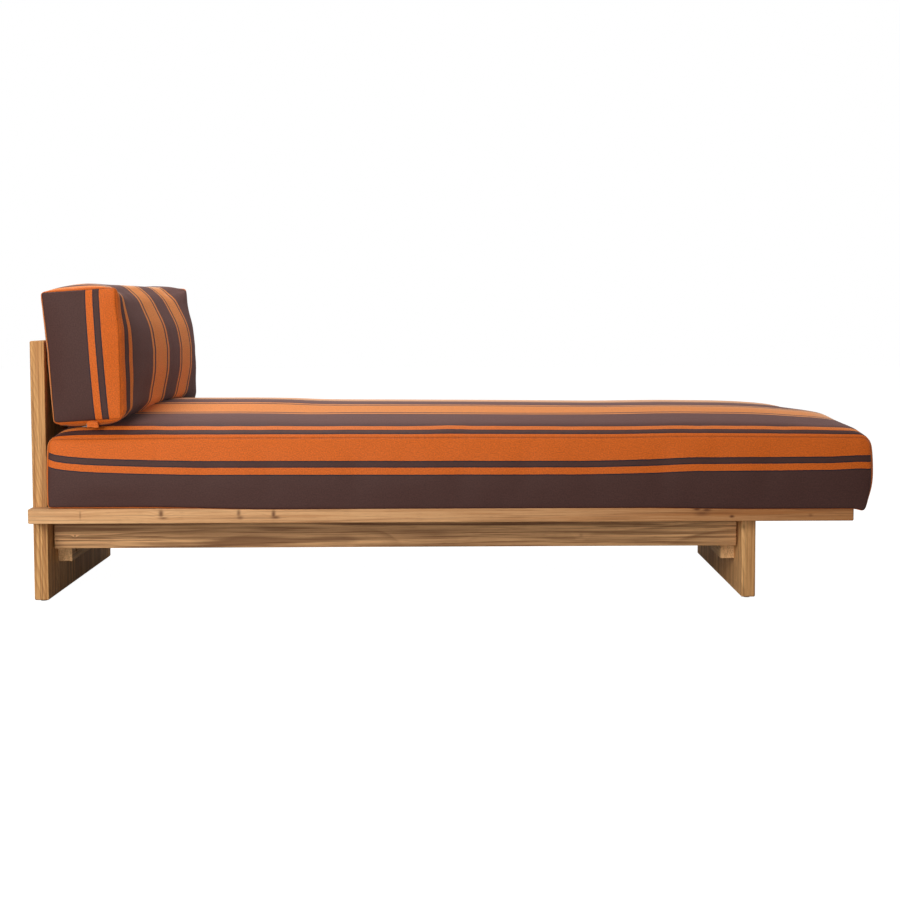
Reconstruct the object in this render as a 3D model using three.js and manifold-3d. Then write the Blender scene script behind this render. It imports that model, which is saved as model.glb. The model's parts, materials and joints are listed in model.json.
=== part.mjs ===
// Outdoor daybed: a slatted teak deck between a tall head panel and a low foot panel,
// with a crowned mattress and a bolster that leans on the head panel.
// Millimetres. +X runs from head to foot, the front side faces -Y, and +Z is up.
import * as THREE from 'three';
import { mergeVertices } from 'three/addons/utils/BufferGeometryUtils.js';
import Module from 'manifold-3d';

const wasm = await Module();
wasm.setup();

// Platform
const platformLength = 2000;
const platformWidth = 850;
const railWidth = 50;
const railHeight = 36;
const deckHeight = 234;

// Leg panels
const panelThickness = 35;
const headPanelHeight = 638;
const footOverhang = 230;
const glideHeight = 4;
const glideDiameter = 18;
const glideInset = 24;
const glideNailDiameter = 3;
const glideNailLength = 14;
const glideRim = 1.5;

// Beams and cross members below the deck
const beamThickness = 50;
const beamHeight = 74;
const beamSetback = 103;
const beamEndGap = 3;
const cleatThickness = 35;
const cleatHeight = 113;
const tenonThickness = 12;
const tenonHeight = 46;
const tenonLength = 25;

// Slats and the strips that carry them
const slatCount = 14;
const slatWidth = 70;
const slatThickness = 20;
const slatEndClearance = 1;
const ledgerWidth = 20;
const bearerWidth = 35;

// Bolts from the cross members into the leg panels
const boltDiameter = 8;
const boltHeadAcross = 13;
const boltHeadHeight = 5.3;
const boltInset = 54;
const boltRise = 29;
const boltTipClearance = 3;
const counterboreDiameter = 24;
const counterboreDepth = 12;
const washerDiameter = 21;
const washerThickness = 1.8;
const insertDiameter = 12;
const insertLength = 20;
const insertCollar = 1.2;
const insertCollarLength = 2;

// Dowels between the rails and the pieces that they hold
const dowelDiameter = 8;
const dowelLength = 60;
const dowelSpacing = 15;
const dowelDepthInRail = 25;

// Mattress
const mattressOverhang = 47;
const mattressInset = 8;
const mattressEdgeHeight = 170;
const mattressLip = 18;
const mattressLipReach = 14;
const mattressCrown = 40;
const mattressHeadReach = 40;
const mattressFootReach = 290;
const mattressFootHold = 26;
const mattressFootBulgeShare = 0.6;
const mattressEdgeRadius = 24;
const mattressSideSwell = 7;
const mattressDrawIn = 6;
const mattressEndSwell = 12;
const mattressSwellReach = 90;
const mattressHeadClearance = 1;

// Bolster
const bolsterHeight = 318;
const bolsterThickness = 174;
const bolsterFrontSwell = 50;
const bolsterBackSwell = 36;
const bolsterTopSwell = 20;
const bolsterEndSwell = 10;
const bolsterSwellReach = 62;
const bolsterHeelSwell = 14;
const bolsterHeelReach = 18;
const bolsterEdgeRadius = 18;
const bolsterTiltDegrees = 3.6;
const bolsterYawDegrees = 2.7;
const bolsterDent = 3;
const bolsterSink = 17.5;

// Zip on the bolster's lower edge
const zipBodyLength = 9;
const zipBodyWidth = 8;
const zipBodyHeight = 9;
const zipPullLength = 16;
const zipPullWidth = 6;
const zipPullThickness = 1.2;
const zipPullRound = 2;
const zipInset = 16;
const zipOffset = 6;

// Fits, cuts and faceting
const seatGap = 0.3;
const boreClearance = 0.3;
const cutOverrun = 1;
const edgeEase = 2.5;
const smallEase = 1;
const cornerSegments = 1;
const bevelShare = 0.8;
const boreSides = 12;
const nailSides = 8;
const roundSides = 20;
const mattressGrid = [26, 14, 6];
const bolsterGrid = [8, 22, 12];

// Sizes that follow from the ones above
const mattressLength = platformLength + mattressOverhang - panelThickness - mattressHeadClearance;
const mattressWidth = platformWidth - 2 * mattressInset;
const bolsterLength = mattressWidth;
const mattressHeight = mattressEdgeHeight + mattressLip + mattressCrown;
const overallLength = platformLength + mattressOverhang;
const panelWidth = platformWidth - 2 * railWidth;
const panelMiddle = platformWidth / 2;
const railBottom = deckHeight - railHeight;
const slatBottom = deckHeight - slatThickness;
const stripHeight = slatBottom - railBottom;
const footOuter = platformLength - footOverhang;
const footInner = footOuter - panelThickness;
const endRailStart = platformLength - railWidth;
const beamLength = footInner - panelThickness - 2 * beamEndGap;
const cleatBottom = railBottom - cleatHeight;
const boltHeight = cleatBottom + boltRise;
const cleatLength = platformWidth - 2 * (beamSetback + beamThickness + seatGap);
const tenonMiddle = railBottom - beamHeight / 2;
const boltSeatDepth = cleatThickness - counterboreDepth;
const boltLength = boltSeatDepth + seatGap + insertLength - boltTipClearance;
const ledgerLength = endRailStart - panelThickness - 2 * seatGap;
const slatSpan = endRailStart - panelThickness;
const slatGap = (slatSpan - slatCount * slatWidth) / (slatCount + 1);
const slatLength = panelWidth - 2 * slatEndClearance;
const bolsterTilt = THREE.MathUtils.degToRad(bolsterTiltDegrees);
const bolsterYaw = THREE.MathUtils.degToRad(bolsterYawDegrees);

const teak = new THREE.MeshStandardMaterial({ color: 0xc08f5c, roughness: 0.55, metalness: 0 });
const darkTeak = new THREE.MeshStandardMaterial({ color: 0xa87a52, roughness: 0.6, metalness: 0 });
const birch = new THREE.MeshStandardMaterial({ color: 0xd8c096, roughness: 0.7, metalness: 0 });
const steel = new THREE.MeshStandardMaterial({ color: 0x9a9c9e, roughness: 0.35, metalness: 1 });
const brass = new THREE.MeshStandardMaterial({ color: 0xb49248, roughness: 0.35, metalness: 1 });
const glidePlastic = new THREE.MeshStandardMaterial({ color: 0x3a3a3a, roughness: 0.6, metalness: 0 });
const stripedCloth = new THREE.MeshStandardMaterial({ color: 0xc96a2c, roughness: 0.9, metalness: 0 });

// Solids and cuts

function solidOf(geometry) {
  const bare = geometry.clone();
  bare.deleteAttribute('normal');
  bare.deleteAttribute('uv');
  const merged = mergeVertices(bare);
  const corners = [];
  for (let i = 0; i < merged.index.count; i += 3) {
    const face = [0, 1, 2].map((k) => merged.index.getX(i + k));
    if (new Set(face).size === 3) corners.push(...face);
  }
  return new wasm.Manifold(new wasm.Mesh({
    numProp: 3,
    vertProperties: Float32Array.from(merged.attributes.position.array),
    triVerts: Uint32Array.from(corners),
  }));
}

function geometryOf(solid) {
  const mesh = solid.getMesh();
  const geometry = new THREE.BufferGeometry();
  geometry.setAttribute('position', new THREE.BufferAttribute(mesh.vertProperties, 3));
  geometry.setIndex(new THREE.BufferAttribute(mesh.triVerts, 1));
  geometry.computeVertexNormals();
  return geometry;
}

function cut(geometry, tools) {
  return geometryOf(tools.reduce((solid, tool) => solid.subtract(solidOf(tool)), solidOf(geometry)));
}

function join(geometries) {
  return geometryOf(geometries.map(solidOf).reduce((whole, next) => whole.add(next)));
}

function moved(geometry, x, y, z) {
  return geometry.clone().translate(x, y, z);
}

// Boards: a section with eased edges, run along one axis and centred

function easedSection(width, height, ease) {
  const x = width / 2 - ease;
  const y = height / 2 - ease;
  const shape = new THREE.Shape();
  shape.absarc(x, y, ease, 0, Math.PI / 2);
  shape.absarc(-x, y, ease, Math.PI / 2, Math.PI);
  shape.absarc(-x, -y, ease, Math.PI, 1.5 * Math.PI);
  shape.absarc(x, -y, ease, 1.5 * Math.PI, 2 * Math.PI);
  return shape;
}

function boardAlongZ(width, depth, length, ease) {
  const geometry = new THREE.ExtrudeGeometry(easedSection(width, depth, ease), {
    depth: length - 2 * ease,
    curveSegments: cornerSegments,
    bevelEnabled: true,
    bevelThickness: ease,
    bevelSize: ease * bevelShare,
    bevelOffset: -ease * bevelShare,
    bevelSegments: 1,
  });
  return geometry.translate(0, 0, ease - length / 2);
}

function boardAlongX(length, depth, height, ease) {
  return boardAlongZ(height, depth, length, ease).rotateY(Math.PI / 2);
}

function boardAlongY(width, length, height, ease) {
  return boardAlongZ(width, height, length, ease).rotateX(Math.PI / 2);
}

function block(width, depth, height) {
  return new THREE.BoxGeometry(width, depth, height);
}

// Round pieces, turned about +Z with their base at z = 0

function turned(profile, sides) {
  const points = profile.map(([radius, height]) => new THREE.Vector2(radius, height));
  return new THREE.LatheGeometry(points, sides).rotateX(Math.PI / 2);
}

function rod(diameter, length, sides) {
  const radius = diameter / 2;
  return turned([[0, 0], [radius, 0], [radius, length], [0, length]], sides);
}

function ring(outerDiameter, innerDiameter, length, sides) {
  const outer = outerDiameter / 2;
  const inner = innerDiameter / 2;
  return turned([[inner, 0], [outer, 0], [outer, length], [inner, length], [inner, 0]], sides);
}

// Bolts, washers and inserts lie along X, with the bolt's head towards +X from its seat at x = 0

function hexBolt() {
  const head = new THREE.CylinderGeometry(
    boltHeadAcross / Math.sqrt(3), boltHeadAcross / Math.sqrt(3), boltHeadHeight, 6);
  head.rotateZ(Math.PI / 2).translate(washerThickness + seatGap + boltHeadHeight / 2, 0, 0);
  const shankLength = boltLength + washerThickness + seatGap;
  const shank = rod(boltDiameter, shankLength + boltHeadHeight / 2, boreSides);
  shank.rotateY(Math.PI / 2).translate(-boltLength, 0, 0);
  return join([head, shank]);
}

function washer() {
  const bore = boltDiameter + 2 * boreClearance;
  return ring(washerDiameter, bore, washerThickness, roundSides)
    .rotateY(Math.PI / 2)
    .translate(seatGap / 2, 0, 0);
}

function threadedInsert() {
  const body = insertDiameter / 2;
  const collar = body + insertCollar;
  const bore = boltDiameter / 2 + boreClearance;
  const profile = [
    [bore, 0],
    [collar, 0],
    [collar, insertCollarLength],
    [body, insertCollarLength],
    [body, insertLength],
    [bore, insertLength],
    [bore, 0],
  ];
  return turned(profile, roundSides).rotateY(-Math.PI / 2);
}

function insertHole() {
  const body = insertDiameter / 2 + boreClearance;
  const collar = body + insertCollar;
  const depth = insertLength + boreClearance;
  const profile = [
    [0, -cutOverrun],
    [collar, -cutOverrun],
    [collar, insertCollarLength + boreClearance],
    [body, insertCollarLength + boreClearance],
    [body, depth],
    [0, depth],
  ];
  return turned(profile, boreSides).rotateY(-Math.PI / 2);
}

// Places that repeat: ends along X and sides along Y

const ends = ['head', 'foot'];
const sides = ['front', 'back'];
const boltSetback = beamSetback + beamThickness + boltInset;
const boltY = [boltSetback, platformWidth - boltSetback];
const boltSeats = [panelThickness + seatGap + boltSeatDepth, footInner - seatGap - boltSeatDepth];
const innerFaces = [panelThickness, footInner];
const panelCentres = [panelThickness / 2, footInner + panelThickness / 2];
const cleatOffset = seatGap + cleatThickness / 2;
const cleatCentres = [panelThickness + cleatOffset, footInner - cleatOffset];
const glideY = [railWidth + glideInset, platformWidth - railWidth - glideInset];
const ledgerSetback = railWidth + seatGap + ledgerWidth / 2;
const ledgerCentres = [ledgerSetback, platformWidth - ledgerSetback];
const slatCentres = Array.from({ length: slatCount }, (_, i) =>
  panelThickness + slatGap + slatWidth / 2 + i * (slatWidth + slatGap));

// A dowel has its shorter part in the rail
const dowelY = [
  railWidth - dowelDepthInRail + dowelLength / 2,
  platformWidth - railWidth + dowelDepthInRail - dowelLength / 2,
];
const railMiddle = deckHeight - railHeight / 2;
const dowelPlaces = sides.flatMap((side, k) => [
  [`dowel_head_${side}_lower`, panelThickness / 2, dowelY[k], railMiddle - dowelSpacing / 2],
  [`dowel_head_${side}_upper`, panelThickness / 2, dowelY[k], railMiddle + dowelSpacing / 2],
  [`dowel_foot_${side}_inner`, platformLength - railWidth / 2 - dowelSpacing / 2, dowelY[k], railMiddle],
  [`dowel_foot_${side}_outer`, platformLength - railWidth / 2 + dowelSpacing / 2, dowelY[k], railMiddle],
]);

function dowelForm(clearance) {
  const length = dowelLength + 2 * clearance;
  return rod(dowelDiameter + 2 * clearance, length, boreSides)
    .translate(0, 0, -length / 2)
    .rotateX(Math.PI / 2);
}

const dowelHoles = dowelPlaces.map(([, x, y, z]) => moved(dowelForm(boreClearance), x, y, z));

// A named mesh at its place; the tools that cut it are given where they stand in the daybed

function placed(name, geometry, material, x, y, z, tools = []) {
  const local = tools.map((tool) => moved(tool, -x, -y, -z));
  const mesh = new THREE.Mesh(local.length > 0 ? cut(geometry, local) : geometry, material);
  mesh.name = name;
  mesh.position.set(x, y, z);
  return mesh;
}

// Leg panels, with blind holes for the inserts, the glides' nails and the dowels

function panelHoles(end) {
  const nail = glideNailDiameter + 2 * boreClearance;
  const nailDepth = glideNailLength + boreClearance + cutOverrun;
  const inserts = boltY.map((y) => {
    const hole = insertHole();
    return (end === 1 ? hole.rotateZ(Math.PI) : hole).translate(innerFaces[end], y, boltHeight);
  });
  const nails = glideY.map((y) =>
    moved(rod(nail, nailDepth, nailSides), panelCentres[end], y, glideHeight - cutOverrun));
  return [...inserts, ...nails];
}

function headPanel() {
  const height = headPanelHeight - glideHeight;
  return placed('head_panel', boardAlongZ(panelThickness, panelWidth - 2 * seatGap, height, edgeEase), teak,
    panelCentres[0], panelMiddle, glideHeight + height / 2, [...panelHoles(0), ...dowelHoles]);
}

// The foot panel stops below the slats and is notched over the ledger strips

function footPanel() {
  const height = slatBottom - seatGap - glideHeight;
  const notchWidth = ledgerWidth + 2 * seatGap + cutOverrun;
  const notchHeight = stripHeight + cutOverrun;
  const notch = block(panelThickness + 2 * cutOverrun, notchWidth, notchHeight);
  const notchSetback = railWidth - cutOverrun + notchWidth / 2;
  const notchY = [notchSetback, platformWidth - notchSetback];
  const notchMiddle = railBottom - seatGap + notchHeight / 2;
  const notches = notchY.map((y) => moved(notch, panelCentres[1], y, notchMiddle));
  return placed('foot_panel', boardAlongZ(panelThickness, panelWidth - 2 * seatGap, height, edgeEase), teak,
    panelCentres[1], panelMiddle, glideHeight + height / 2, [...panelHoles(1), ...notches]);
}

// Deck frame

function sideRail(side) {
  const y = side === 0 ? railWidth / 2 : platformWidth - railWidth / 2;
  const board = boardAlongX(platformLength, railWidth, railHeight, edgeEase);
  return placed(`side_rail_${sides[side]}`, board, teak, platformLength / 2, y, railMiddle, dowelHoles);
}

function footEndRail() {
  const board = boardAlongY(railWidth, panelWidth - 2 * seatGap, railHeight, edgeEase);
  return placed('foot_end_rail', board, teak,
    platformLength - railWidth / 2, panelMiddle, railMiddle, dowelHoles);
}

function ledger(side) {
  const height = stripHeight - seatGap;
  return placed(`ledger_${sides[side]}`, boardAlongX(ledgerLength, ledgerWidth, height, smallEase), teak,
    panelThickness + seatGap + ledgerLength / 2, ledgerCentres[side], railBottom + height / 2);
}

function bearer(side) {
  const length = footInner - panelThickness - 2 * seatGap;
  const setback = beamSetback + beamThickness / 2;
  const height = stripHeight - 2 * seatGap;
  return placed(`slat_bearer_${sides[side]}`, boardAlongX(length, bearerWidth, height, smallEase), teak,
    panelThickness + seatGap + length / 2,
    side === 0 ? setback : platformWidth - setback,
    railBottom + stripHeight / 2);
}

function slats() {
  const board = boardAlongY(slatWidth, slatLength, slatThickness, smallEase);
  const name = (i) => `slat_${String(i + 1).padStart(2, '0')}`;
  return slatCentres.map((x, i) =>
    placed(name(i), board.clone(), teak, x, panelMiddle, deckHeight - slatThickness / 2));
}

// Under-frame: two beams, joined to the cross members by stub tenons

function beam(side) {
  const outer = side === 0 ? beamSetback : platformWidth - beamSetback;
  const inward = side === 0 ? 1 : -1;
  const depth = tenonLength + seatGap + cutOverrun;
  const mortise = block(tenonThickness + 2 * seatGap, depth, tenonHeight + 2 * seatGap);
  const y = outer + inward * (beamThickness + cutOverrun - depth / 2);
  const board = boardAlongX(beamLength, beamThickness, beamHeight, edgeEase);
  return placed(`beam_${sides[side]}`, board, darkTeak,
    panelThickness + beamEndGap + beamLength / 2,
    outer + inward * beamThickness / 2,
    railBottom - beamHeight / 2,
    cleatCentres.map((x) => moved(mortise, x, y, tenonMiddle)));
}

function boltHole(end) {
  const shank = boltDiameter / 2 + boreClearance;
  const wide = counterboreDiameter / 2;
  const profile = [
    [0, -boltSeatDepth - cutOverrun],
    [shank, -boltSeatDepth - cutOverrun],
    [shank, 0],
    [wide, 0],
    [wide, counterboreDepth + cutOverrun],
    [0, counterboreDepth + cutOverrun],
  ];
  const hole = turned(profile, roundSides).rotateY(Math.PI / 2);
  return end === 1 ? hole.rotateZ(Math.PI) : hole;
}

function cleat(end) {
  const body = boardAlongY(cleatThickness, cleatLength, cleatHeight, smallEase);
  const tongue = block(tenonThickness, cleatLength + 2 * tenonLength, tenonHeight)
    .translate(0, 0, tenonMiddle - cleatBottom - cleatHeight / 2);
  const holes = boltY.map((y) => moved(boltHole(end), boltSeats[end], y, boltHeight));
  return placed(`${ends[end]}_cleat`, join([body, tongue]), darkTeak,
    cleatCentres[end], panelMiddle, cleatBottom + cleatHeight / 2, holes);
}

// Fasteners and glides

function boltSet(end, side) {
  const place = `${ends[end]}_${sides[side]}`;
  const turn = (geometry) => (end === 1 ? geometry.rotateZ(Math.PI) : geometry);
  return [
    placed(`bolt_${place}`, turn(hexBolt()), steel, boltSeats[end], boltY[side], boltHeight),
    placed(`washer_${place}`, turn(washer()), steel, boltSeats[end], boltY[side], boltHeight),
    placed(`insert_${place}`, turn(threadedInsert()), brass, innerFaces[end], boltY[side], boltHeight),
  ];
}

function dowels() {
  return dowelPlaces.map(([name, x, y, z]) => placed(name, dowelForm(0), birch, x, y, z));
}

function glide(end, side) {
  const radius = glideDiameter / 2;
  const nail = glideNailDiameter / 2;
  const profile = [
    [0, 0],
    [radius - glideRim, 0],
    [radius, glideRim],
    [radius, glideHeight - seatGap],
    [nail, glideHeight - seatGap],
    [nail, glideHeight + glideNailLength],
    [0, glideHeight + glideNailLength],
  ];
  return placed(`glide_${ends[end]}_${sides[side]}`, turned(profile, roundSides), glidePlastic,
    panelCentres[end], glideY[side], 0);
}

// Cushions: a rounded block whose faces swell away from their edges

function rise(distance, reach) {
  return 1 - Math.exp(-Math.max(distance, 0) / reach);
}

function roundedBlock(size, radius, grid) {
  const geometry = new THREE.BoxGeometry(1, 1, 1, ...grid);
  const place = geometry.attributes.position;
  const point = new THREE.Vector3();
  const core = new THREE.Vector3();
  const half = size.clone().multiplyScalar(0.5);
  const inner = half.clone().subScalar(radius);
  for (let i = 0; i < place.count; i += 1) {
    point.fromBufferAttribute(place, i);
    // Rows of points gather towards the edges, where the form turns
    const turn = point.clone().multiplyScalar(Math.PI);
    point.set(Math.sin(turn.x), Math.sin(turn.y), Math.sin(turn.z)).multiply(half);
    core.copy(point).clamp(inner.clone().negate(), inner);
    const away = point.clone().sub(core);
    if (away.length() > 0) point.copy(core).addScaledVector(away.normalize(), radius);
    place.setXYZ(i, point.x, point.y, point.z);
  }
  return geometry;
}

function reshape(geometry, change) {
  const place = geometry.attributes.position;
  const point = new THREE.Vector3();
  for (let i = 0; i < place.count; i += 1) {
    point.fromBufferAttribute(place, i);
    change(point);
    place.setXYZ(i, point.x, point.y, point.z);
  }
  geometry.computeBoundingBox();
  return geometry;
}

function fitted(geometry, size) {
  const box = geometry.boundingBox;
  const centre = box.getCenter(new THREE.Vector3());
  const extent = box.getSize(new THREE.Vector3());
  geometry.translate(-centre.x, -centre.y, -centre.z);
  return geometry.scale(size.x / extent.x, size.y / extent.y, size.z / extent.z);
}

function mattressForm() {
  const size = new THREE.Vector3(mattressLength, mattressWidth, mattressEdgeHeight);
  const half = size.clone().multiplyScalar(0.5);
  const form = reshape(roundedBlock(size, mattressEdgeRadius, mattressGrid), (point) => {
    const along = point.x / half.x;
    const across = point.y / half.y;
    const level = point.z / half.z;
    const fromEnd = rise(half.x - Math.abs(point.x), mattressSwellReach);
    const fromSide = rise(half.y - Math.abs(point.y), mattressSwellReach);
    const belly = 1 - level * level;
    const seam = level * level * (1 - along * along);

    // The top turns up quickly inside the side seams, then crowns slowly; it falls off at both ends
    const lip = mattressLip * rise(half.y - Math.abs(point.y), mattressLipReach);
    const crown = mattressCrown * (1 - across * across);
    const fall = Math.min((half.x - point.x + mattressFootHold) / mattressFootReach, 1);
    const toFoot = fall * (1 + mattressFootBulgeShare * (1 - fall));
    const toHead = rise(half.x + point.x, mattressHeadReach);
    point.z += (lip + crown) * Math.max(level, 0) * toHead * toFoot;
    point.y += across * (mattressSideSwell * belly * fromEnd - mattressDrawIn * seam);
    point.x += along * mattressEndSwell * belly * fromSide;
  });
  return fitted(form, new THREE.Vector3(mattressLength, mattressWidth, mattressHeight));
}

function mattress() {
  return placed('mattress', mattressForm(), stripedCloth,
    panelThickness + mattressHeadClearance + mattressLength / 2,
    panelMiddle,
    deckHeight + seatGap + mattressHeight / 2);
}

function heelSwell(fromEnd, fromFront) {
  return bolsterHeelSwell * rise(fromEnd, bolsterHeelReach) * rise(fromFront, bolsterHeelReach);
}

function bolsterForm() {
  const size = new THREE.Vector3(bolsterThickness, bolsterLength - 2 * bolsterEndSwell, bolsterHeight);
  const half = size.clone().multiplyScalar(0.5);
  return reshape(roundedBlock(size, bolsterEdgeRadius, bolsterGrid), (point) => {
    const through = point.x / half.x;
    const along = point.y / half.y;
    const level = point.z / half.z;
    const fromFront = rise(half.x - Math.abs(point.x), bolsterSwellReach);
    const fromEnd = rise(half.y - Math.abs(point.y), bolsterSwellReach);
    const fromTop = rise(half.z - Math.abs(point.z), bolsterSwellReach);
    point.x += Math.max(through, 0) * bolsterFrontSwell * fromEnd * fromTop;
    point.x += Math.min(through, 0) * bolsterBackSwell * fromEnd * fromTop;
    point.z += Math.max(level, 0) * bolsterTopSwell * fromEnd * fromFront;
    point.z += Math.min(level, 0) * heelSwell(half.y - Math.abs(point.y), half.x - Math.abs(point.x));
    point.y += along * bolsterEndSwell * (1 - through * through) * (1 - level * level);
  });
}

function zipSlider() {
  const body = boardAlongX(zipBodyLength, zipBodyWidth, zipBodyHeight, smallEase);
  const outline = easedSection(zipPullLength, zipPullWidth, zipPullRound);
  const pull = new THREE.ExtrudeGeometry(outline, {
    depth: zipPullThickness, bevelEnabled: false, curveSegments: cornerSegments,
  });
  pull.translate(-zipPullLength / 2, 0, -zipBodyHeight / 2 - zipPullThickness / 2);
  return join([body, pull]);
}

// The bolster stands on the mattress, leans back on the head panel's top edge and is pressed in by both

function bolsterAndZip() {
  const seat = new THREE.Group();
  const halfThickness = bolsterThickness / 2;
  const halfHeight = bolsterHeight / 2;
  const crownTop = deckHeight + seatGap + mattressHeight;
  const contactLevel = headPanelHeight - crownTop - halfHeight;
  const backReach = (halfThickness + bolsterBackSwell) / Math.cos(bolsterTilt);
  seat.position.set(
    panelThickness - bolsterDent + backReach + contactLevel * Math.tan(bolsterTilt),
    panelMiddle,
    crownTop + halfHeight * Math.cos(bolsterTilt) - bolsterSink);
  seat.rotation.set(0, -bolsterTilt, -bolsterYaw, 'ZYX');
  seat.updateMatrix();

  const back = seat.matrix.clone().invert();
  const bed = mattress();
  const bedTool = bed.geometry.clone().translate(bed.position.x, bed.position.y, bed.position.z + seatGap);
  const panelTool = block(panelThickness + 2 * seatGap, panelWidth + 2 * seatGap, headPanelHeight + seatGap)
    .translate(panelThickness / 2, panelMiddle, (headPanelHeight + seatGap) / 2);
  const tools = [bedTool, panelTool].map((tool) => tool.applyMatrix4(back));
  const cushion = new THREE.Mesh(cut(bolsterForm(), tools), stripedCloth);
  cushion.name = 'bolster';

  // The slider hugs the underside where it turns up into the near end
  const zipLevel = -halfHeight - heelSwell(zipInset, halfThickness);
  const slider = placed('zip_slider', zipSlider(), steel,
    -zipOffset, bolsterEndSwell + zipInset - bolsterLength / 2, zipLevel,
    [moved(bolsterForm(), 0, 0, -seatGap)]);
  seat.add(cushion, slider);
  return seat;
}

const daybed = new THREE.Group();
daybed.add(headPanel(), footPanel(), footEndRail(), ...slats(), ...dowels(), mattress(), bolsterAndZip());
for (const side of [0, 1]) {
  daybed.add(sideRail(side), ledger(side), bearer(side), beam(side));
  for (const end of [0, 1]) daybed.add(glide(end, side), ...boltSet(end, side));
}
for (const end of [0, 1]) daybed.add(cleat(end));
daybed.position.set(-overallLength / 2, -platformWidth / 2, 0);

export default daybed;
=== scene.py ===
# %% [markdown]
# # A striped outdoor daybed
# The daybed is a slatted teak deck on two slab leg panels, with a crowned mattress and a
# bolster that leans on the tall panel. Its boards, bolts and glides come from the CAD model
# as they are, and get their wood and metal here. The two cushions are soft, so they are
# made again as cloth, in the places that their CAD solids hold.

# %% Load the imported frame
import json
import math

import bpy
import numpy as np
from mathutils import Euler, Matrix, Vector
from mathutils.bvhtree import BVHTree

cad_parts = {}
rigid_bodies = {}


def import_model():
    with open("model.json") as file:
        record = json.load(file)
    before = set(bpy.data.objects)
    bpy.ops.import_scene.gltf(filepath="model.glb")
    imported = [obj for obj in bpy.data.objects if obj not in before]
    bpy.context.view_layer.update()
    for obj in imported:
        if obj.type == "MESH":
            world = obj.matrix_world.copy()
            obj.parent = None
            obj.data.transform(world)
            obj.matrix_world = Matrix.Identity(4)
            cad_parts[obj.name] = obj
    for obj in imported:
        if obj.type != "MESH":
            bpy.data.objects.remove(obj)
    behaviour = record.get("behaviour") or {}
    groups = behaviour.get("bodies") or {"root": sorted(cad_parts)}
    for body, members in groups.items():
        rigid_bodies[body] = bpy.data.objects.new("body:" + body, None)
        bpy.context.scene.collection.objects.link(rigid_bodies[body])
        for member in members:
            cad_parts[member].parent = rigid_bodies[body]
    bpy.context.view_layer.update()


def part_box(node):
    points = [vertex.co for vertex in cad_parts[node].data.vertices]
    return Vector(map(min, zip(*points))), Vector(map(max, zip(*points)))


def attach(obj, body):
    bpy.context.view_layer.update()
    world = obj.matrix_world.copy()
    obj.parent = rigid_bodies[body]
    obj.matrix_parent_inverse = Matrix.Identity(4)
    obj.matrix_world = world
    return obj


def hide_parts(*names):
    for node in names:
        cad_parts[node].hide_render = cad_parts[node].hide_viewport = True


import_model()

MM = 0.001
bpy.context.scene.view_settings.view_transform = "Standard"

# %% [markdown]
# ## The camera
# The photograph was taken from the middle of the long side, a little above the seat and
# with a fairly long lens. The place, turn and lens come from the deck's and the panels'
# edges, which are straight in the photograph, so the camera isn't moved again after this.

# %% Place the camera
CAMERA_AT = (0.0043, -4.4984, 0.7128)
YAW, PITCH, ROLL = 0.0181, 0.0700, -0.0018
camera_data = bpy.data.cameras.new("photo_camera")
camera = bpy.data.objects.new("photo_camera", camera_data)
bpy.context.scene.collection.objects.link(camera)
bpy.context.scene.camera = camera
camera_data.lens, camera_data.sensor_width = 67.68, 36.0
camera_data.shift_x, camera_data.shift_y = -0.0382, -0.0245
camera_data.clip_end = 60.0
level = Vector((math.sin(YAW), math.cos(YAW), 0))
sideways = Vector((math.cos(YAW), -math.sin(YAW), 0))
ahead = level * math.cos(PITCH) - Vector((0, 0, math.sin(PITCH)))
upward = Vector((0, 0, math.cos(PITCH))) + level * math.sin(PITCH)
right = sideways * math.cos(ROLL) + upward * math.sin(ROLL)
top = upward * math.cos(ROLL) - sideways * math.sin(ROLL)
turn = Matrix((right, top, -ahead)).transposed()
camera.matrix_world = Matrix.Translation(CAMERA_AT) @ turn.to_4x4()
print("camera at", [round(v, 3) for v in camera.location])

# %% [markdown]
# ## Shader sums
# A pattern such as grain is a sum of waves and noise. Written with nodes alone it takes
# many lines, so a socket is wrapped in a small class on which plus, minus and times work
# as in algebra. One more method adds any other node.

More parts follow.
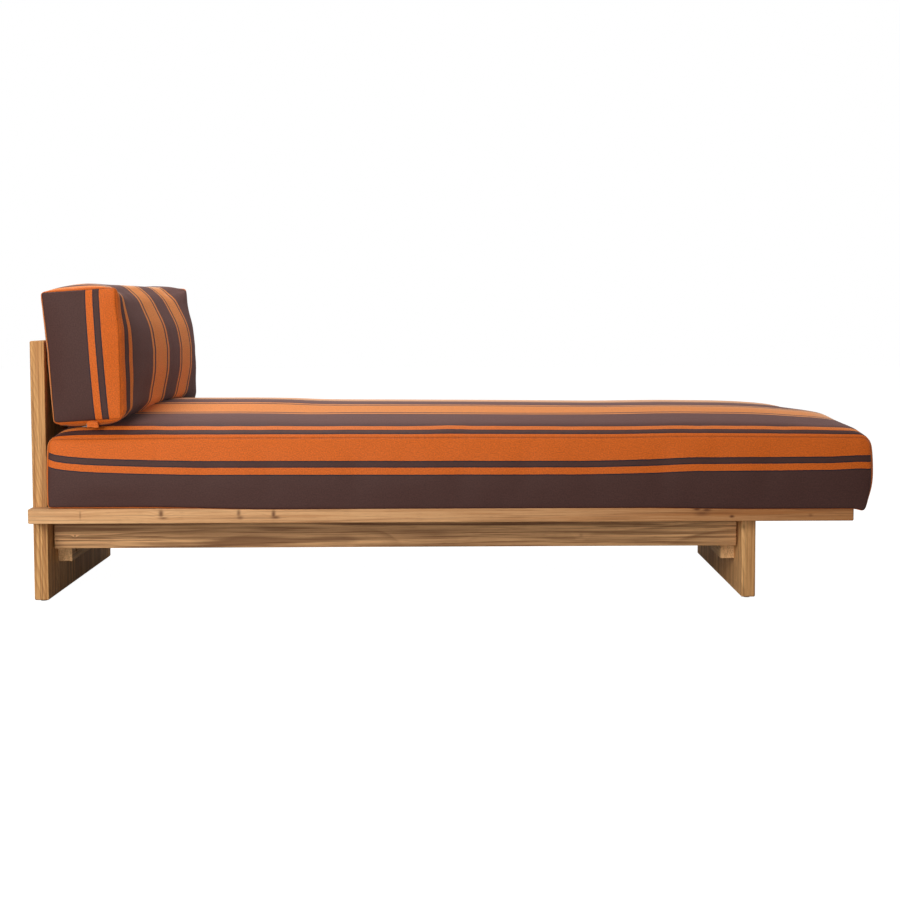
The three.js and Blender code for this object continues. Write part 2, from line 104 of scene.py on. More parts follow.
# %% A socket on which sums can be written
class Wire:
    def __init__(self, tree, node=None, out=0):
        self.tree, self.node = tree, node
        self.socket = node.outputs[out] if node and node.outputs else None

    def add(self, kind, inputs=None, out=0, **settings):
        """Any other node, with its inputs by name or number."""
        node = self.tree.nodes.new("ShaderNode" + kind)
        for name, value in settings.items():
            setattr(node, name, value)
        for slot, value in (inputs or {}).items():
            if isinstance(value, Wire):
                self.tree.links.new(value.socket, node.inputs[slot])
            else:
                node.inputs[slot].default_value = value
        return Wire(self.tree, node, out)

    def output(self, name):
        return Wire(self.tree, self.node, name)

    def maths(self, operation, *values):
        return self.add("Math", dict(enumerate(values)), operation=operation)

    def __add__(self, other): return self.maths("ADD", self, other)
    def __sub__(self, other): return self.maths("SUBTRACT", self, other)
    def __mul__(self, other): return self.maths("MULTIPLY", self, other)
    def __truediv__(self, other): return self.maths("DIVIDE", self, other)
    def __pow__(self, other): return self.maths("POWER", self, other)
    def __radd__(self, other): return self.maths("ADD", other, self)
    def __rsub__(self, other): return self.maths("SUBTRACT", other, self)
    def __rmul__(self, other): return self.maths("MULTIPLY", other, self)
    def __rtruediv__(self, other): return self.maths("DIVIDE", other, self)
    def __rpow__(self, other): return self.maths("POWER", other, self)
    def __neg__(self): return self.maths("MULTIPLY", self, -1.0)
    def __abs__(self): return self.maths("ABSOLUTE", self)

    def between(self, low, high):
        """0 below low, 1 above high, and a soft step between."""
        return self.add("MapRange", {0: self, 1: low, 2: high}, interpolation_type="SMOOTHSTEP")

    def tint(self, a, b):
        """Colour a where this wire is 0 and colour b where it is 1."""
        return self.add("Mix", {0: self, 6: a, 7: b}, out=2, data_type="RGBA")

    def times(self, shade):
        """This colour multiplied by another one."""
        return self.add("Mix", {0: 1.0, 6: self, 7: shade}, out=2, data_type="RGBA",
                        blend_type="MULTIPLY")


def linear(code):
    """A colour written as in a paint program, as Blender's linear numbers."""
    parts = [int(code[i:i + 2], 16) / 255 for i in (1, 3, 5)]
    return (*[p / 12.92 if p < 0.04045 else ((p + 0.055) / 1.055) ** 2.4 for p in parts], 1.0)


def finish(name):
    """A new material: its Principled shader and a first wire to write sums from."""
    material = bpy.data.materials.new(name)
    material.use_nodes = True
    shader = material.node_tree.nodes["Principled BSDF"]
    return material, shader, Wire(material.node_tree)


EULER = 2.718


def feed(wire, shader, name):
    """Joins a wire to one of the shader's inputs."""
    wire.tree.links.new(wire.socket, shader.inputs[name])


def fading(wire):
    """1 where the wire is 0, and quickly less above it."""
    return EULER ** -wire


def wear(pieces, material):
    """Gives each piece this material alone."""
    for piece in pieces:
        piece.data.materials.clear()
        piece.data.materials.append(material)


print("white paper would be", linear("#FFFFFF"))

# %% [markdown]
# ## Floor, backdrop and light
# The photograph stands on plain white. The floor and the world are white to the camera and
# in reflections, through Light Path, while what they light the daybed with stays at a plain
# level. The floor keeps a soft shadow. The daybed is brightest at its left, so two lamps
# stand at the front left, one of them low enough to reach under the deck. A wide lamp hangs
# overhead for the mattress's top, and a weak one at the right lights the bolster's front.

# %% Make the white world
world = bpy.data.worlds.new("white_studio")
bpy.context.scene.world = world
world.use_nodes = True
world.node_tree.nodes.clear()
paper = Wire(world.node_tree)
GLOSS_SHARE = 0.12


def seen(wire):
    """1 for rays from the camera or through glass, and a little for rays from gloss."""
    path = wire.add("LightPath")
    glass = wire.maths("MAXIMUM", path.output("Is Glossy Ray") * GLOSS_SHARE,
                       path.output("Is Transmission Ray"))
    return wire.maths("MAXIMUM", path.output("Is Camera Ray"), glass)


room = paper.add("Background", {"Color": (1.0, 0.985, 0.965, 1), "Strength": 0.20})
blank = paper.add("Background", {"Color": (1, 1, 1, 1), "Strength": 1.0})
sky = paper.add("MixShader", {0: seen(paper), 1: room, 2: blank})
paper.add("OutputWorld", {0: sky})

# %% Lay the floor
bpy.ops.object.select_all(action="DESELECT")
bpy.ops.mesh.primitive_plane_add(size=24, location=(0, 4, 0))
floor = bpy.context.object
floor.name = "studio_floor"
floor_paint, floor_shader, w = finish("floor_paper")
floor_paint.node_tree.nodes.remove(floor_shader)
matt = w.add("BsdfDiffuse", {"Color": seen(w).tint((0.30, 0.29, 0.28, 1), (1, 1, 1, 1))})
glow = w.add("Emission", {"Color": (1, 1, 1, 1), "Strength": 1.24})
paper_floor = w.add("MixShader", {0: seen(w) * 0.8, 1: matt, 2: glow})
w.tree.links.new(paper_floor.socket, w.tree.nodes["Material Output"].inputs["Surface"])
wear([floor], floor_paint)

# %% Hang the lamps
DAYLIGHT, NOON = (1.0, 0.98, 0.95), (1.0, 0.98, 0.96)


def lamp(name, place, aim, size, watts, tone):
    """A round lamp at its place in the studio, turned towards its aim."""
    data = bpy.data.lights.new(name, "AREA")
    data.shape, data.size, data.energy, data.color = "DISK", size, watts, tone
    thing = bpy.data.objects.new(name, data)
    bpy.context.scene.collection.objects.link(thing)
    thing.location = place
    thing.rotation_euler = (Vector(aim) - Vector(place)).to_track_quat("-Z", "Y").to_euler()


lamp("window_left", (-1.9, -3.3, 1.6), (-0.3, 0, 0.35), 1.8, 78, DAYLIGHT)
lamp("low_left", (-0.8, -4.5, 0.4), (-0.1, 0, 0.2), 1.4, 46, DAYLIGHT)
lamp("overhead", (-1.0, 0.6, 3.0), (-0.2, 0, 0.3), 2.4, 60, NOON)
lamp("side_right", (3.3, 0.7, 1.9), (-0.8, 0, 0.6), 2.0, 33, NOON)

# %% [markdown]
# ## Wood
# Grain is what a saw cut shows of a tree's growth rings, so each board's colour comes from
# its distance to the middle of its own tree, which lies beside the board and runs along the
# grain. Slow noise bends the rings, and a knot pushes them apart round itself. Because
# this goes through the whole board, end grain comes out right as well.

# %% Cut a board out of its tree
X, Y, Z = 0, 1, 2


def timber(name, along, heart, ring=9.0, wander=10.0, light="#CFA06B", dark="#8A5426",
           figure=0.55, slope=0.0, knots=(), deepens=0.0):
    """Sawn wood. Along is the grain's axis. Heart says where the tree's middle lies on the
    other two axes, in metres, and slope how it leaves the board along the grain. Ring and
    wander are in mm. A knot is its place on the three axes, then its size along and across
    the grain in mm, and its strength. Deepens is how fast the board darkens along the grain."""
    material, shader, w = finish(name)
    axes = w.add("SeparateXYZ", {0: w.add("TexCoord").output("Object")})
    xyz = [axes.output(letter) for letter in "XYZ"]
    grain = xyz[along]
    u, v = [wire for axis, wire in enumerate(xyz) if axis != along]

    def noise(lengthwise, across, detail=2.0, shift=0.0):
        stretched = w.add("CombineXYZ", {0: grain * lengthwise + (heart[0] * 37 + shift),
                                         1: u * across, 2: v * across + shift})
        return w.add("TexNoise", {"Vector": stretched, "Scale": 1.0, "Detail": detail})

    # The rings: their distance to the heart, bent by slow noise and pushed out by knots
    bend = (noise(1.3, 3.0) - 0.5) * (wander * 7 * MM)
    ripple = (noise(6.0, 32.0, 3.0, 4.0) - 0.5) * (wander * 1.1 * MM)
    du, dv = u - heart[0] + bend + grain * slope, v - heart[1] + ripple
    radius = w.maths("SQRT", du * du + dv * dv)
    core = None
    for *centre, length, breadth, strength in knots:
        away = [(wire - middle) / (breadth * MM) for wire, middle in zip(xyz, centre)]
        away[along] = away[along] * (breadth / length)
        away = away[0] * away[0] + away[1] * away[1] + away[2] * away[2]
        radius = radius + fading(away / 9) * (min(length, breadth) * 0.8 * MM)
        spot = fading(away) * strength
        core = spot if core is None else w.maths("MAXIMUM", core, spot)

    # Late wood darkens each ring towards its outside, in years of uneven width
    years = w.add("TexNoise", {"Vector": w.add("CombineXYZ", {0: radius * 45}), "Scale": 1.0,
                               "Detail": 2.0})
    late = w.maths("FRACT", radius / (ring * MM) + years * 2.2)
    late = late ** 2.2 * (1 - late.between(0.82, 1.0))

    # Clouds, streaks, hairs, fibres and pores run along the grain
    strong = noise(0.8, 14.0, 3.0, 9.0).between(0.42, 0.58)
    cloud = noise(0.7, 22.0, 4.0, 2.0).between(0.42, 0.60)
    fibre = noise(14.0, 420.0, 3.0)
    streak = noise(2.6, 120.0, 4.0, 6.0).between(0.45, 0.62)
    hair = noise(4.0, 300.0, 3.0, 12.0).between(0.52, 0.66)
    pore = noise(40.0, 1400.0).between(0.58, 0.70)

    tone = cloud * figure * 0.5 + (grain + 0.9) * deepens
    colour = tone.tint(linear(light), linear(dark))
    colour = (late * (strong * 0.75 + 0.15) * figure).tint(colour, linear(dark))
    colour = (streak * figure * 0.55).tint(colour, linear(dark))
    colour = (hair * figure * 0.7).tint(colour, linear("#5E3413"))
    colour = (fibre.between(0.35, 0.75) * 0.2).tint(colour, linear(dark))
    colour = (pore * 0.3).tint(colour, linear("#5A3518"))
    if core is not None:
        colour = core.between(0.05, 1.0).tint(colour, linear("#54290F"))
    feed(colour, shader, "Base Color")
    feed(0.5 + fibre * 0.25, shader, "Roughness")
    shader.inputs["Specular IOR Level"].default_value = 0.3
    relief = w.add("Bump", {"Height": fibre - pore * 0.6, "Strength": 0.25, "Distance": 0.0006})
    feed(relief, shader, "Normal")
    return material


print("grain can run along", X, Y, Z)

# %% [markdown]
# Each board gets a tree of its own. The front rail shows fine vertical checks near the head
# end and a cluster of small knots near the foot end, and it darkens on its way there. The
# panels stand upright, so their grain does too. The beams have the strongest figure.

# %% Give each board its wood
part = bpy.data.objects
RAIL_FACE, BEAM_FACE = -0.425, -0.322
RAIL_KNOTS = [
    (-0.8975, RAIL_FACE, 0.219, 3, 13, 0.5), (-0.703, RAIL_FACE, 0.222, 7, 11, 0.75),
    (-0.698, RAIL_FACE, 0.211, 14, 5, 0.6), (-0.516, RAIL_FACE, 0.223, 6, 12, 0.65),
    (-0.513, RAIL_FACE, 0.212, 10, 6, 0.6), (-0.432, RAIL_FACE, 0.220, 6, 13, 0.75),
    (-0.428, RAIL_FACE, 0.212, 14, 5, 0.7), (0.594, RAIL_FACE, 0.229, 11, 5, 0.9),
    (0.618, RAIL_FACE, 0.226, 14, 5, 0.75), (0.606, RAIL_FACE, 0.217, 22, 8, 0.55),
    (0.679, RAIL_FACE, 0.210, 7, 4, 0.85), (0.871, RAIL_FACE, 0.212, 7, 5, 0.5)]
BEAM_KNOTS = [
    (-0.934, BEAM_FACE, 0.155, 2.5, 2.5, 0.8), (-0.035, BEAM_FACE, 0.163, 40, 20, 0.3),
    (0.32, BEAM_FACE, 0.152, 7, 6, 0.4)]
wear([part["side_rail_front"]], timber(
    "rail_teak_front", X, (-0.36, 0.02), 6, 6, "#E8B884", "#9C5A20", 0.5, 0.02, RAIL_KNOTS, 0.36))
wear([part["side_rail_back"]], timber("rail_teak_back", X, (0.52, 0.02), 6, 6, "#D6A873",
                                      "#9A612E", 0.45, 0.02))
wear([part["foot_end_rail"]], timber("rail_teak_foot", Y, (0.9, 0.06), 6, 6, "#C08C58"))
wear([part["head_panel"]], timber(
    "head_panel_teak", Z, (-1.06, -0.31), 9, 18, "#EBB675", "#925620", 0.72, 0.30,
    [(-0.985, -0.375, 0.395, 26, 14, 0.3), (-1.0235, 0.12, 0.45, 14, 10, 0.7)]))
wear([part["foot_panel"]], timber(
    "foot_panel_teak", Z, (0.70, -0.31), 9, 16, "#F6C080", "#925620", 0.78, 0.22,
    [(0.716, -0.375, 0.178, 8, 6, 0.5)]))
wear([part["beam_front"]], timber(
    "beam_teak_front", X, (-0.21, 0.13), 9, 7, "#F2BC83", "#653A18", 1.0, 0.012, BEAM_KNOTS))
wear([part["beam_back"]], timber("beam_teak_back", X, (0.25, 0.17), 12, 13, "#D9AB7C",
                                 "#6B401C", 0.85, 0.012))
for end, place in (("head", -0.93), ("foot", 0.66)):
    wear([part[end + "_cleat"]], timber(end + "_cleat_teak", Y, (place - 0.05, 0.03), 6, 5,
                                        "#F3C48C", "#94602F", 0.5))
wear([part[n + s] for n in ("ledger_", "slat_bearer_") for s in ("front", "back")],
     timber("inner_teak", X, (0.0, -0.1), 8, 8, "#C08F5C"))
SLATS = [f"{number:02d}" for number in range(1, 15)]
for number in SLATS:
    heart = (int(number) * 0.14 - 1.0, 0.12 + int(number) * 0.01)
    wear([part["slat_" + number]], timber("slat_teak_" + number, Y, heart, 8, 9, "#C4945F",
                                          "#8A5628", 0.5))
print("boards in teak:", sum("teak" in m.name for m in bpy.data.materials))

# %% [markdown]
# Dowels are pale birch, bolts and washers zinc-coloured steel, the threaded inserts brass,
# and the small glides under the panels dark plastic. Fine noise keeps them from being flat.

# %% Finish the fittings
def fitting(name, shade, other, metal, roughness, scale, stretch=(1, 1, 1)):
    """Metal, plastic or plain wood in two shades, mixed by noise of the given scale."""
    material, shader, w = finish(name)
    place = w.add("TexCoord").output("Object")
    cells = w.add("VectorMath", {0: place, 1: stretch}, operation="MULTIPLY")
    speckle = w.add("TexNoise", {"Vector": cells, "Scale": scale, "Detail": 3.0})
    feed(speckle.between(0.3, 0.7).tint(linear(shade), linear(other)), shader, "Base Color")
    feed(roughness + speckle * 0.2, shader, "Roughness")
    feed(w.add("Bump", {"Height": speckle, "Strength": 0.2, "Distance": 0.0003}), shader,
         "Normal")
    shader.inputs["Metallic"].default_value = metal
    return material


pieces = list(part.keys())
steel = fitting("zinc_steel", "#77787A", "#5C5D5F", 1.0, 0.4, 900)
wear([part[n] for n in pieces if n.startswith(("bolt_", "washer_"))], steel)
wear([part["zip_slider"]], steel)
wear([part[n] for n in pieces if n.startswith("insert_")],
     fitting("brass", "#C9A24E", "#A88238", 1.0, 0.3, 700))
wear([part[n] for n in pieces if n.startswith("glide_")],
     fitting("glide_plastic", "#55575A", "#44464A", 0.0, 0.5, 500))
wear([part[n] for n in pieces if n.startswith("dowel_")],
     fitting("birch", "#E0C79A", "#C9AC7C", 0.0, 0.55, 60, (1, 14, 14)))
print("fittings finished:", sum(n.startswith(("bolt_", "washer_", "insert_", "glide_", "dowel_"))
                                for n in pieces))

# %% [markdown]
# ## Slat screws
# Each slat is held by a screw at each end, driven down into the ledger below it. One screw
# head with its cross recess is modelled, then copied to all the slat ends.

# %% Model one screw head
HEAD_RADIUS, HEAD_DEPTH = 0.0042, 0.0016
bpy.ops.object.select_all(action="DESELECT")
bpy.ops.mesh.primitive_cylinder_add(vertices=32, radius=HEAD_RADIUS, depth=HEAD_DEPTH)
screw = bpy.context.object
screw.name = "slat_screw_01_front"
bpy.ops.object.mode_set(mode="EDIT")
bpy.ops.mesh.select_mode(type="FACE")
bpy.ops.mesh.select_all(action="DESELECT")
bpy.ops.object.mode_set(mode="OBJECT")
for polygon in screw.data.polygons:
    polygon.select = polygon.normal.z > 0.9
bpy.ops.object.mode_set(mode="EDIT")
bpy.ops.mesh.bevel(offset=0.0007, segments=3)
bpy.ops.object.mode_set(mode="OBJECT")
bpy.ops.object.shade_smooth_by_angle(angle=math.radians(40))
for turn in (0, 90):
    bpy.ops.object.select_all(action="DESELECT")
    bpy.ops.mesh.primitive_cube_add(size=1, location=(0, 0, 0.0009),
                                    rotation=(0, 0, math.radians(turn + 20)))
    slot = bpy.context.object
    slot.scale = (HEAD_RADIUS, 0.0009, 0.0014)
    cut = screw.modifiers.new("recess", "BOOLEAN")
    cut.object, cut.operation, cut.solver = slot, "DIFFERENCE", "EXACT"
    bpy.ops.object.select_all(action="DESELECT")
    screw.select_set(True)
    bpy.context.view_layer.objects.active = screw
    bpy.ops.object.modifier_apply(modifier="recess")
    bpy.data.objects.remove(slot)
wear([screw], steel)

# %% Copy it to every slat end
FROM_END, PROUD = 0.012, 0.0006
pattern = screw.data.copy()
count = 0
for number in SLATS:
    low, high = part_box("slat_" + number)
    for side_name, y in (("front", low.y + FROM_END), ("back", high.y - FROM_END)):
        name = f"slat_screw_{number}_{side_name}"
        if name == screw.name:
            copy = screw
        else:
            copy = bpy.data.objects.new(name, pattern.copy())
            bpy.context.scene.collection.objects.link(copy)
        copy.data.transform(Matrix.Translation(((low.x + high.x) / 2, y, high.z + PROUD)))
        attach(copy, "frame")
        count += 1
bpy.data.meshes.remove(pattern)
print("slat screws:", count)

# %% [markdown]
# ## The cushions' rest shape
# Both cushions are sewn in the same way: one long strip of cloth goes round over the top,
# down the ends and back underneath, and a flat panel closes each long side. The seam between
# them runs round the panel just inside the edge. A voxel remesh would lose that seam, so
# the rest shape is a grid of rows that follow the cloth, with a row exactly on each seam.
# Rows are closer together at the edges, where the cloth turns.

# %% Rows of points and their closed grid
def rows(length, edges, step):
    """Places from -length/2 to length/2: even steps, with finer bands at both ends.
    Edges is a list of (width, number of rows) bands, from the outside in."""
    half = length / 2
    outer, at = [], -half
    for width, count in edges:
        outer += [at + width * i / count for i in range(count)]
        at += width
    inner = 2 * max(1, round(-at / step))
    middle = [at + 2 * -at * i / inner for i in range(inner + 1)]
    return np.array(outer + middle + [-v for v in reversed(outer)])


def grid_shell(xs, ys, zs):
    """Points, quads and each quad's side of a closed box of rows."""
    count = (len(xs), len(ys), len(zs))
    number = -np.ones(count, int)
    edge = np.zeros(count, bool)
    for axis in range(3):
        for end in (0, count[axis] - 1):
            edge[tuple(end if a == axis else slice(None) for a in range(3))] = True
    number[edge] = np.arange(edge.sum())
    cell = np.argwhere(edge)
    quads, sides = [], []
    for axis in range(3):
        u, v = [a for a in range(3) if a != axis]
        for end in (0, count[axis] - 1):
            i, j = np.meshgrid(np.arange(count[u] - 1), np.arange(count[v] - 1), indexing="ij")
            corners = []
            for du, dv in ((0, 0), (1, 0), (1, 1), (0, 1)):
                place = [None, None, None]
                place[axis], place[u], place[v] = np.full_like(i, end), i + du, j + dv
                corners.append(number[tuple(place)].ravel())
            face = np.stack(corners, 1)
            outward = (end > 0) ^ (axis == 1)
            quads.append(face if outward else face[:, ::-1])
            sides.append(np.full(len(face), 2 * axis + (end > 0)))
    return cell, np.concatenate(quads), np.concatenate(sides)


def swell(distance, reach):
    """0 at a seam and nearly 1 a few times the reach away from it."""
    return 1 - np.exp(-np.maximum(distance, 0) / reach)


def smooth(value):
    """0 below 0, 1 above 1, and a soft step between."""
    t = np.clip(value, 0, 1)
    return t * t * (3 - 2 * t)


print("rows across a 100 mm strip:", np.round(rows(100, [(12, 3)], 14), 1))

# %% [markdown]
# The box of rows gets round corners in side view, and a small roll at the seams. The seam
# lies a little inside the edge, so a narrow band of the strip shows round each side panel,
# as it does in the photograph.

# %% Round the box and roll its seams
def rounded(cell, xs, ys, zs, corner, roll, turns):
    """Rest points for the grid. Corner gives the radius in side view for points x, y, z.
    Roll is the radius at the seams and turns the degrees through which the strip rolls over
    before its seam, each given for the lower and the upper seam."""
    p = np.stack([xs[cell[:, 0]], ys[cell[:, 1]], zs[cell[:, 2]]], 1).astype(float)
    half = np.array([xs[-1], ys[-1], zs[-1]])
    radius = corner(p)
    core = np.stack([half[0] - radius, half[2] - radius], 1)
    flat = p[:, [0, 2]]
    over = np.maximum(np.abs(flat) - core, 0)
    reach = np.linalg.norm(over, axis=1)
    both = (over > 0).all(1)
    scale = np.where(both, over.max(1) / np.maximum(reach, 1e-9), 1.0)
    placed = np.sign(flat) * (np.minimum(np.abs(flat), core) + over * scale[:, None])

    # How far a point lies inside the outline, and which way is out
    depth = np.where(both, radius - over.max(1), (half[[0, 2]] - np.abs(flat)).min(1))
    out = np.where(both[:, None], over / np.maximum(reach, 1e-9)[:, None],
                   (half[[0, 2]] - np.abs(flat) <= depth[:, None] + 1e-6).astype(float))
    out *= np.sign(flat)

    roll = roll[0] + (roll[1] - roll[0]) * smooth(p[:, 2] / half[2] * 2 + 2.5)
    strip = np.abs(p[:, 1]) < half[1] - 1e-6
    inward = half[1] - np.abs(p[:, 1])
    turn = np.radians(turns[0] + (turns[1] - turns[0]) * smooth(p[:, 2] / half[2] * 2 + 2.5))
    angle = np.where(strip, turn * (1 - np.minimum(inward / roll, 1)),
                     turn + (math.pi / 2 - turn) * np.minimum(depth / roll, 1))
    near = np.where(strip, inward < roll, depth < roll)
    rim = placed + out * np.where(strip, 0.0, depth)[:, None]
    rolled = rim - out * (roll * (1 - np.cos(angle)))[:, None]
    shape = np.where(near[:, None], rolled, placed)
    across = np.where(near | ~strip, half[1] - roll * (1 - np.sin(angle)), np.abs(p[:, 1]))
    return np.stack([shape[:, 0], np.sign(p[:, 1]) * across, shape[:, 1]], 1), p


# %% [markdown]
# The mattress stands 170 mm high at its seams and is crowned above them. The crown drops
# quickly behind the side seams and slowly towards the foot end. Its near and far sides
# swell a little between the seams, and the strip bulges at both ends.

# %% Shape the mattress
def crowned(p, q, half):
    """Rest points of the mattress, from its box points p and rounded points q, in mm."""
    x, y = q[:, 0], q[:, 1]
    share, beside, level = (q / half).T
    from_side, to_end = half[1] - np.abs(y), half[0] - x
    belly = 1 - level ** 2
    shape = q.copy()

    # The crown rises behind the side seams and falls towards the foot end
    bend = np.where(y > 0, 4, 2)
    crown = 18 * swell(from_side, 14) + 40 * (1 - (1 - from_side / half[1]) ** bend)
    fall = 0.35 * np.sin(np.clip(to_end / 340, 0, 1) * math.pi / 2)
    crown = crown * (0.20 + 0.45 * swell(to_end, 30) + fall) * swell(half[0] + x, 40)
    shape[:, 2] += np.maximum(level, 0) * (crown - 6 * np.maximum(share, 0) ** 1.3)

    # The sides bulge between their seams, draw in at them, and the ends bulge too
    ends = swell(half[0] - np.abs(x), 90)
    shape[:, 1] += np.sign(y) * 7 * belly * ends * (np.abs(p[:, 1]) / half[1]) ** 8
    shape[:, 1] -= beside * 4 * level ** 2 * (1 - share ** 2)
    shape[:, 0] += share ** 9 * 4 * belly * (0.5 + 0.5 * swell(from_side, 60))

    # The foot end tapers and droops at its lower edge, and its top stands a little higher
    shape[:, 0] -= 20 * np.maximum(share, 0) ** 24 * np.clip(-level, 0, 1) ** 2.6
    shape[:, 2] -= 5 * smooth((x - 958) / 36) * (1 - level) / 2
    shape[:, 2] += 4 * smooth((x - 330) / 250) * (1 + level) / 2

    # The underside spreads on the deck, and its seams hang over the deck's long edges
    shape[:, 1] += beside * 22 * (1 - level) / 2
    hangs = smooth((np.abs(shape[:, 1]) - 421) / 4) * smooth(-level * 4 - 2.5)
    shape[:, 2] -= hangs * (6 + 3 * smooth((x - 450) / 250)) * smooth((x + 750) / 300)

    # The top is hollow near the foot end, most of all at the far side
    top = (1 + level) / 2
    shape[:, 2] -= 2 * top * np.exp(-((to_end - 120) / 55) ** 2) * swell(from_side, 60)
    away = smooth((y + 60) / 160)
    hollow = np.exp(-((to_end - 52 - 14 * away) / (38 + 12 * away)) ** 2)
    shape[:, 2] -= (3.5 + 11.5 * away) * top * hollow * swell(from_side - 60 * (1 - away), 60)

    # It is lower towards the foot and higher under the bolster
    shape[:, 2] -= 2.5 * top * smooth((x + 480) / 120) * swell(from_side, 60)
    lower = 6.5 * top * np.clip((x + 250) / 900, 0, 1)
    shape[:, 2] -= lower * smooth(to_end / 200) * swell(from_side, 120)
    shape[:, 2] += 5 * top * smooth((-x - 250) / 350) * swell(from_side, 150)

    # A shallow trough runs along its near half
    trough = np.exp(-((from_side - 215) / 90) ** 2) * (y < 0)
    depth = 5 + 4 * smooth((-x - 250) / 250) - 3 * smooth((x - 100) / 400)
    shape[:, 2] -= top * trough * depth
    return shape


LENGTH, WIDTH, EDGE = 1998, 820, 170
xs = rows(LENGTH, [(12, 2), (60, 6)], 15)
ys = rows(WIDTH, [(12, 3), (40, 4)], 15)
zs = rows(EDGE, [(12, 3), (48, 5)], 13)
cell, quads, sides = grid_shell(xs, ys, zs)


def mattress_corner(p):
    """Corner radius in side view in mm, small at the seams and full a little inside them."""
    seam = np.where(p[:, 2] > 0, np.where(p[:, 0] > 0, 24, 16), 12)
    full = np.where(p[:, 2] > 0, np.where(p[:, 0] > 0, 44, 60), 16)
    return seam + (full - seam) * swell(WIDTH / 2 - np.abs(p[:, 1]), 60)


lower_roll = 4 + 5 * smooth((-620 - xs[cell[:, 0]]) / 200)
rolled, boxed = rounded(cell, xs, ys, zs, mattress_corner, (lower_roll, 12), (45, 55))
half = np.array([LENGTH, WIDTH, EDGE]) / 2
form = crowned(boxed, rolled, half)
low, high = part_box("mattress")
INSET, LIFT = 11, 0.4
middle = np.array([low.x + (LENGTH / 2 + INSET) * MM, 0, low.z + (EDGE / 2 + LIFT) * MM])
print("mattress rows:", len(xs), len(ys), len(zs), "quads:", len(quads))
print("mattress size in mm:", np.round(np.ptp(form, axis=0), 1))

# %% [markdown]
# The cloth's own directions go in a UV map in metres: x runs along the stripes and y across
# them, from the middle of the strip. The strip's rows keep their number from the top down
# over the ends, so the stripes do too. On a side panel they run on from the seam.

# %% Make the mesh, with the cloth's directions on it
def cloth_piece(name, points, quads, cloth, from_seam):
    """A mesh with its cloth directions and each point's distance to the seam, in metres."""
    mesh = bpy.data.meshes.new(name)
    mesh.from_pydata(points.tolist(), [], quads.tolist())
    layer = mesh.uv_layers.new(name="cloth")
    layer.data.foreach_set("uv", cloth.astype(np.float32).ravel())
    seam = mesh.attributes.new("from_seam", "FLOAT", "POINT")
    seam.data.foreach_set("value", from_seam.astype(np.float32))
    piece = bpy.data.objects.new(name, mesh)
    bpy.context.scene.collection.objects.link(piece)
    return piece


def inside(p, half):
    """How far each point of a side panel lies from the seam; less than 0 on the strip."""
    panel = np.abs(p[:, 1]) > half[1] - 1e-6
    depth = (half[[0, 2]] - np.abs(p[:, [0, 2]])).min(1)
    return np.where(panel, depth, np.abs(p[:, 1]) - half[1])


def strip_along(p, half, side):
    """Place along the strip, round the box in side view."""
    x, z = p[..., 0], p[..., 2]
    down = half[0] + half[2] - z
    return np.select([side == 5, side == 1, side == 0], [x, down, -down],
                     2 * half[0] + 2 * half[2] - x)


def strip_across(form, cell, row_x, row_z):
    """Running length across the strip, row by row, from its near seam."""
    line = np.flatnonzero((cell[:, 0] == row_x) & (cell[:, 2] == row_z))
    line = line[np.argsort(cell[line, 1])]
    run = np.linalg.norm(np.diff(form[line], axis=0), axis=1)
    return np.concatenate([[0], np.cumsum(run)])


across = strip_across(form, cell, len(xs) // 2, len(zs) - 1)
HALF_STRIP = 425.5
across = (across / across[-1] * 2 - 1) * HALF_STRIP
corners = quads.ravel()
side = np.repeat(sides, 4)
p = boxed[corners]
from_top = EDGE / 2 - p[:, 2]

# The side panel's stripes drift against the seam: millimetres at places along the mattress
DRIFT_AT = [-999, -976, -952, -915, -879, -807, -720, -637, 300, 450, 560, 900, 999]
DRIFT = [19, 13, 9.5, 6, 3.8, 1.2, -1.2, -3, -5, -3, 0, 2, 7]
rise = np.interp(p[:, 0], DRIFT_AT, DRIFT)
panel = (side == 2) | (side == 3)
along = np.where(panel, p[:, 0], strip_along(p, half, side))
seam = across[-1]
sewn = np.where(panel, np.sign(p[:, 1]) * (seam + from_top + rise), across[cell[corners, 1]])
mattress_seam = inside(boxed, half) * MM
mattress = cloth_piece("mattress_cover", form * MM + middle, quads,
                       np.stack([along, sewn], 1) * MM, mattress_seam)
print("strip of the mattress is", round(2 * seam), "mm wide between its seams")

# %% [markdown]
# ## Stripes
# The cloth is plain woven with coloured warp, so its stripes are exact bands across the
# cloth and even along it. Both cushions are cut from one repeat, which mirrors about the
# middle of a brown band, so one list of bands from that middle outwards serves all panels.
# The cloth's base colour also holds a painted sheen. Each yarn has its own shade, seen from
# the front, and two paler painted-sheen shades, slanted and grazing, for the light its soft
# nap catches. The angle of view mixes them, so this painted sheen moves with the camera and
# isn't part of an exported model.

# %% The repeat, from the middle of the brown band outwards, in mm
BANDS = "B 0 N 58 O 61 N 77 O 89 N 197.5 O 209.5 N 225.5 B 229 N 376.5 O 379.5 N 394 B 397 " \
        "N 407.5 O 410.5 N 478 B 481 N 490.5 O 493.5 N 509 B 512".split()
BANDS = [(float(place), yarn) for yarn, place in zip(BANDS[::2], BANDS[1::2])]
REPEAT = 700
YARN, GROOVE, PUCKER_REACH = 0.0016, 0.0019, 0.016
SHADES = {"O": linear("#CD6012"), "B": linear("#462924"), "N": linear("#1E1A23")}
# Paler painted-sheen shades of each yarn, for a slanted and for a grazing view
SLANT_SHEEN_SHADES = {"O": linear("#E68D46"), "B": linear("#66413C"), "N": linear("#3C3138")}
GRAZING_SHEEN_SHADES = {"O": linear("#F2B98F"), "B": linear("#704E4A"), "N": linear("#4A3E46")}


